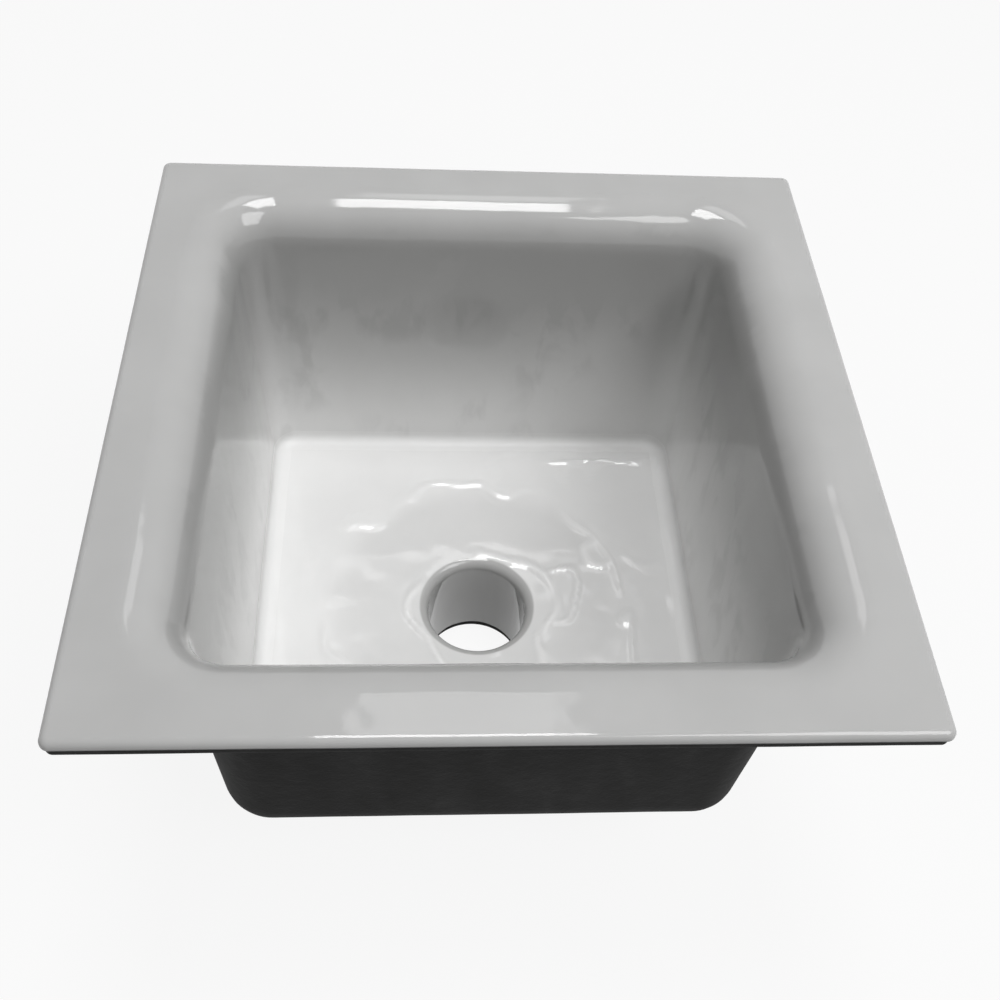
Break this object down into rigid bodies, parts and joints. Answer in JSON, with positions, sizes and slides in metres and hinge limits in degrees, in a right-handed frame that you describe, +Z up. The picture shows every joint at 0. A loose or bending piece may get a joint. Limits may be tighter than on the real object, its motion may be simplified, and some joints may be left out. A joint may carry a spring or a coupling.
{
  "type": "floor sink",
  "caption": "Square enamelled cast-iron floor sink: flat flange with a rolled rim, deep drafted bowl, dished floor and a hubless drain spigot below.",
  "frame": {"origin": "centre of the outlet spigot's lower end, which the sink stands on", "axes": "+Z up along the outlet's axis to the flange; X and Y along the sides of the square flange"},
  "size_m": [0.3048, 0.3048, 0.2159],
  "materials": {
    "black_coated_iron": "as-cast iron under a black bituminous coating, satin",
    "white_enamel": "white vitreous enamel, glossy, slightly uneven"
  },
  "bodies": {
    "root": {"cast_iron_body": "black_coated_iron", "enamel_lining": "white_enamel"}
  },
  "joints": []
}
